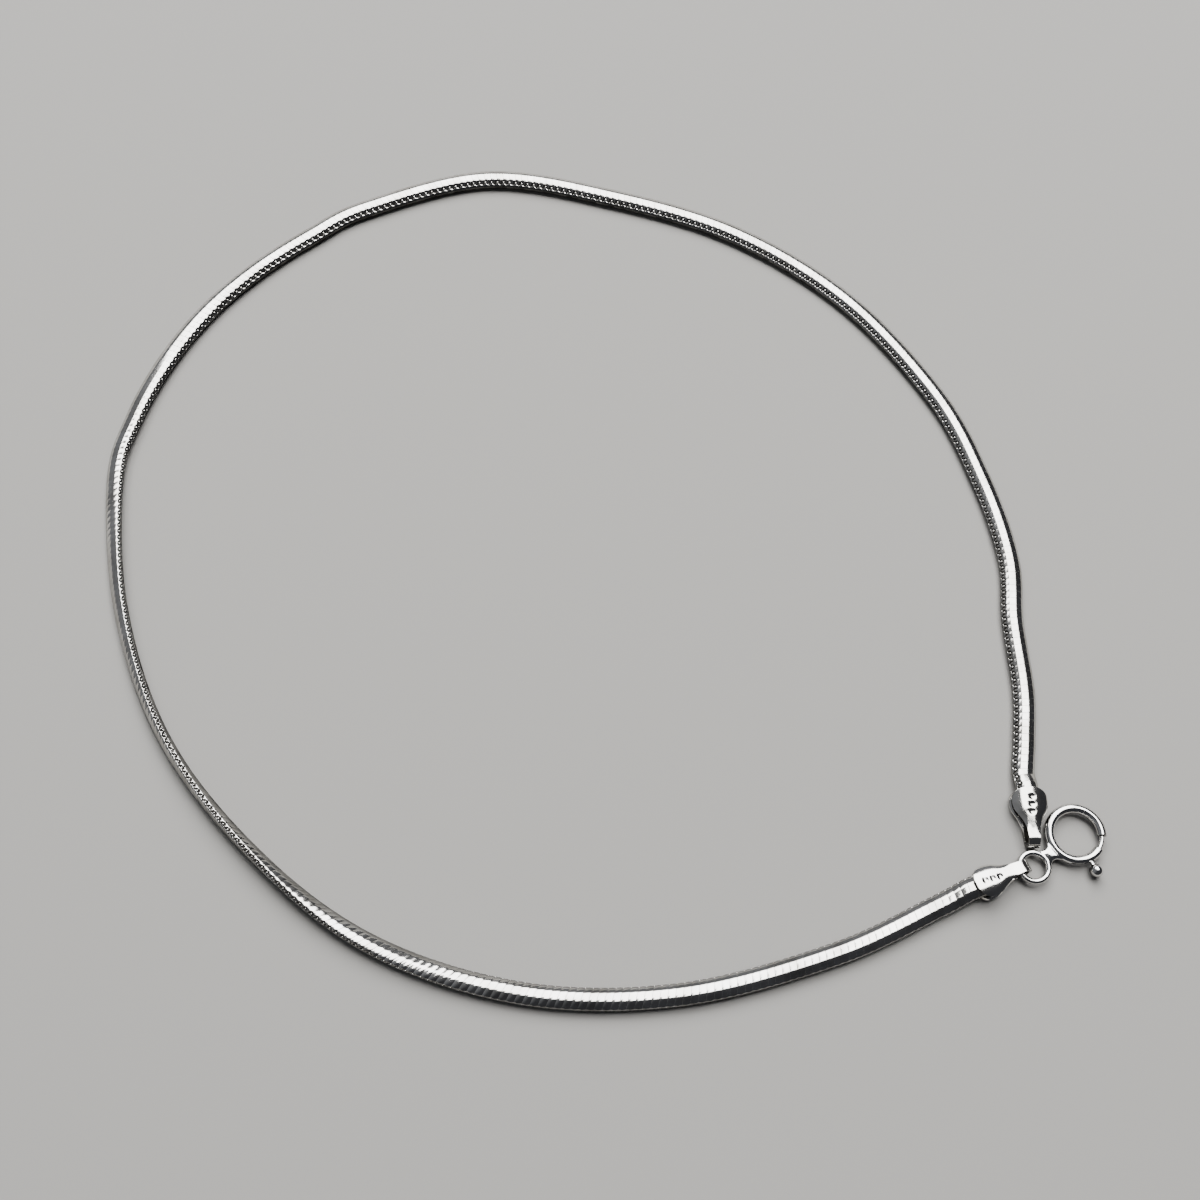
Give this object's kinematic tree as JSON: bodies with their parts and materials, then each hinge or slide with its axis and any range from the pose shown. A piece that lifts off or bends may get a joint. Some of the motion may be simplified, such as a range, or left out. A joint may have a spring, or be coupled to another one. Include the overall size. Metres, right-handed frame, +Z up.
{
  "type": "snake chain necklace",
  "caption": "Oval snake chain necklace with a folded end cap on each end and a spring ring clasp, lying open in a loop.",
  "frame": {"origin": "on the table under the middle of the whole piece's box", "axes": "+Z up from the table, +X towards the clasp side, +Y away from the viewer"},
  "size_m": [0.136, 0.1272, 0.0031],
  "materials": {
    "chain_silver": "polished silver",
    "cap_silver": "polished silver",
    "clasp_silver": "bright polished silver"
  },
  "bodies": {
    "chain": {"snake_chain": "chain_silver", "cap_clasp_end": "cap_silver", "cap_free_end": "cap_silver", "spring_ring": "clasp_silver"},
    "bolt": {"clasp_bolt": "clasp_silver"}
  },
  "joints": [
    {"name": "bolt_slide", "type": "hinge", "parent": "chain", "child": "bolt", "pos_m": [0.06396, -0.04145, 0.001], "axis": [0, 0, -1], "range_deg": [0, 34], "stiffness_Nm_per_rad": 0.006, "springref_deg": -17.19}
  ]
}
